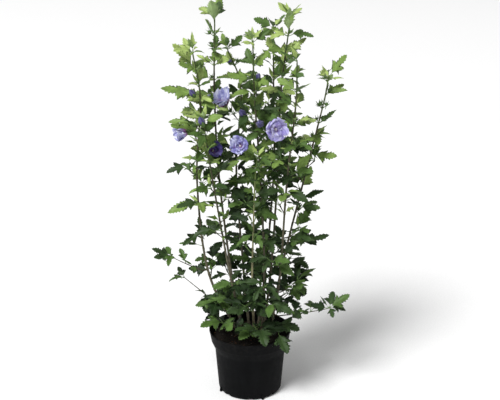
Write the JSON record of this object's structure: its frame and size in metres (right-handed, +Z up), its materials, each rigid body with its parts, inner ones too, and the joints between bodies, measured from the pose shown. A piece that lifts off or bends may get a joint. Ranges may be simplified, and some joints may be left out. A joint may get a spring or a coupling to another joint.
{
  "type": "potted hibiscus shrub",
  "caption": "Upright multi-stemmed hibiscus shrub with lobed green leaves and violet-blue double flowers, growing in a round black plastic nursery pot.",
  "frame": {"origin": "centre of the flat underside of the pot", "axes": "+Z up along the height, +X to the right and -Y towards the viewer of the plant's front"},
  "size_m": [0.616, 0.4045, 1.2428],
  "materials": {
    "black_plastic": "matte moulded black plastic",
    "potting_soil": "dark crumbly potting soil",
    "cane_bark": "grey-brown bark with fine lengthwise fissures and pores",
    "hibiscus_foliage": "semi-matte green leaves, with violet-blue petals on the flowers"
  },
  "bodies": {
    "root": {"pot": "black_plastic", "potting_soil": "potting_soil", "cane_a": "cane_bark", "cane_b": "cane_bark", "cane_c": "cane_bark", "cane_d": "cane_bark", "cane_e": "cane_bark", "cane_f": "cane_bark", "cane_g": "cane_bark", "cane_h": "cane_bark", "cane_i": "cane_bark", "cane_j": "cane_bark", "crown_a": "hibiscus_foliage", "crown_b": "hibiscus_foliage", "crown_c": "hibiscus_foliage", "crown_d": "hibiscus_foliage", "crown_e": "hibiscus_foliage", "crown_f": "hibiscus_foliage", "crown_g": "hibiscus_foliage", "crown_h": "hibiscus_foliage", "crown_i": "hibiscus_foliage", "crown_j": "hibiscus_foliage", "low_left_shoot": "hibiscus_foliage", "lower_left_shoot": "hibiscus_foliage", "low_right_shoot": "hibiscus_foliage", "front_spray": "hibiscus_foliage", "middle_spray": "hibiscus_foliage", "right_middle_spray": "hibiscus_foliage", "rim_spray": "hibiscus_foliage", "back_spray": "hibiscus_foliage", "left_soil_spray": "hibiscus_foliage", "right_back_spray": "hibiscus_foliage", "spray_a_1": "hibiscus_foliage", "spray_a_2": "hibiscus_foliage", "spray_a_3": "hibiscus_foliage", "spray_b_1": "hibiscus_foliage", "spray_b_2": "hibiscus_foliage", "spray_b_3": "hibiscus_foliage", "spray_c_1": "hibiscus_foliage", "spray_c_2": "hibiscus_foliage", "spray_d_1": "hibiscus_foliage", "spray_d_2": "hibiscus_foliage", "spray_d_3": "hibiscus_foliage", "spray_e_1": "hibiscus_foliage", "spray_e_2": "hibiscus_foliage", "spray_f_1": "hibiscus_foliage", "spray_f_2": "hibiscus_foliage", "spray_f_3": "hibiscus_foliage", "spray_g_1": "hibiscus_foliage", "spray_g_2": "hibiscus_foliage", "spray_g_3": "hibiscus_foliage", "spray_h_1": "hibiscus_foliage", "spray_h_2": "hibiscus_foliage", "spray_h_3": "hibiscus_foliage", "spray_i_1": "hibiscus_foliage", "spray_i_2": "hibiscus_foliage", "spray_i_3": "hibiscus_foliage", "spray_j_1": "hibiscus_foliage", "spray_j_2": "hibiscus_foliage", "spray_j_3": "hibiscus_foliage"}
  },
  "joints": []
}
